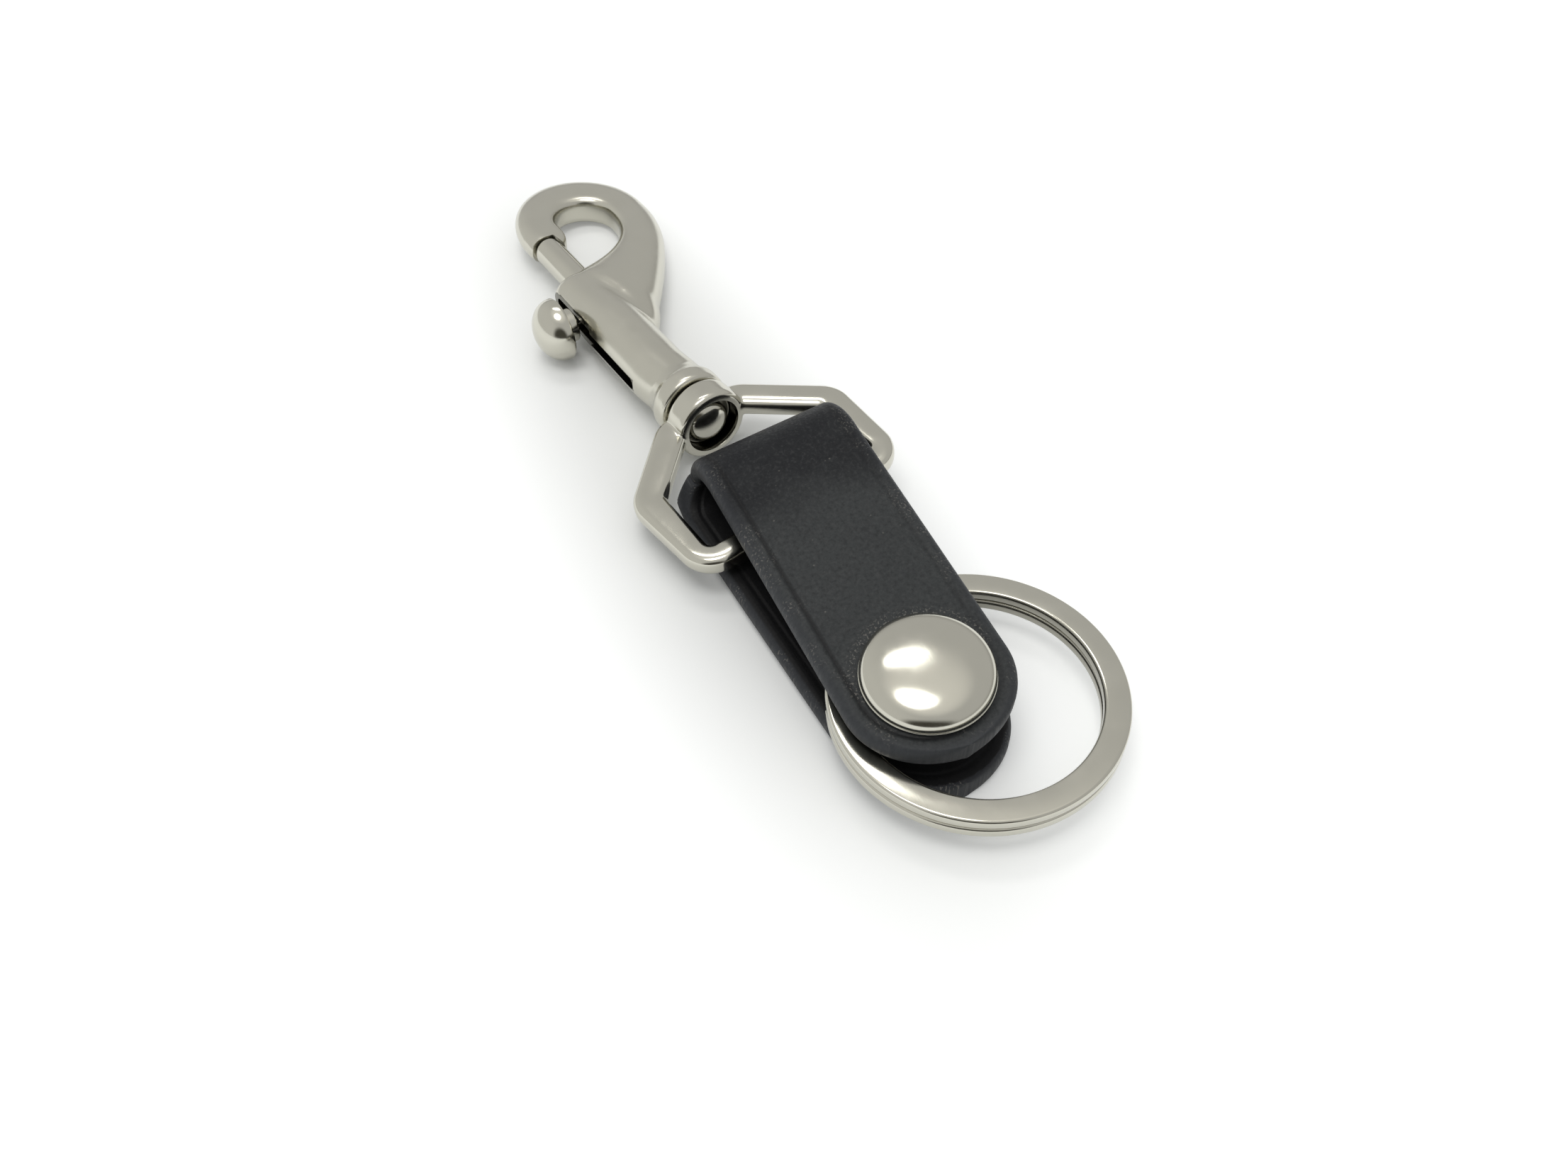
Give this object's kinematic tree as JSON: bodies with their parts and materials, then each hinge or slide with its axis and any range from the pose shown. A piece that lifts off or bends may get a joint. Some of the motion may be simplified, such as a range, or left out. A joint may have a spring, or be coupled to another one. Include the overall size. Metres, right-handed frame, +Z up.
{
  "type": "leather valet keychain",
  "caption": "Leather valet keychain: a folded black strap with a domed snap holds a split ring and the swivel loop of a nickel-plated bolt hook.",
  "frame": {"origin": "centre of the flat underside of the strap's lower leg, on the ground", "axes": "+X along the strap from its fold to its round tips, +Y across the strap, +Z up"},
  "size_m": [0.1342, 0.0414, 0.0134],
  "materials": {
    "leather": "matt, fine grain",
    "nickel": "bright nickel plate",
    "snap_metal": "plated, satin",
    "spring_steel": "drawn wire"
  },
  "bodies": {
    "strap": {"strap_lower": "leather", "snap_stud": "snap_metal", "snap_post": "nickel"},
    "flap": {"strap_flap": "leather", "snap_cap": "nickel", "snap_socket": "snap_metal"},
    "ring": {"split_ring": "nickel"},
    "loop": {"swivel_loop": "nickel"},
    "hook": {"hook_body": "nickel", "swivel_rivet": "nickel", "bolt_spring": "spring_steel"},
    "bolt": {"bolt": "nickel", "thumb_knob": "nickel"}
  },
  "joints": [
    {"name": "flap_hinge", "type": "hinge", "parent": "strap", "child": "flap", "pos_m": [-0.0244, 0, 0.0061], "axis": [0.0697, -0.9962, -0.0522], "range_deg": [0, 35]},
    {"name": "ring_swing", "type": "hinge", "parent": "strap", "child": "ring", "pos_m": [0.02, 0, 0.0046], "axis": [0, 0, 1], "range_deg": [-120, 0]},
    {"name": "loop_hinge", "type": "hinge", "parent": "strap", "child": "loop", "pos_m": [-0.0115, 0.00015, 0.00596], "axis": [-0.1858, 0.9787, 0.0871], "range_deg": [-60, 60]},
    {"name": "hook_swivel", "type": "hinge", "parent": "loop", "child": "hook", "pos_m": [-0.03498, -0.00424, 0.00525], "axis": [-0.9891, -0.1443, -0.0297], "continuous": true},
    {"name": "bolt_slide", "type": "slide", "parent": "hook", "child": "bolt", "axis": [0.9891, 0.1443, 0.0297], "range_m": [0, 0.01], "stiffness_N_per_m": 150, "springref_m": -0.004, "deforming": ["bolt_spring"]}
  ]
}
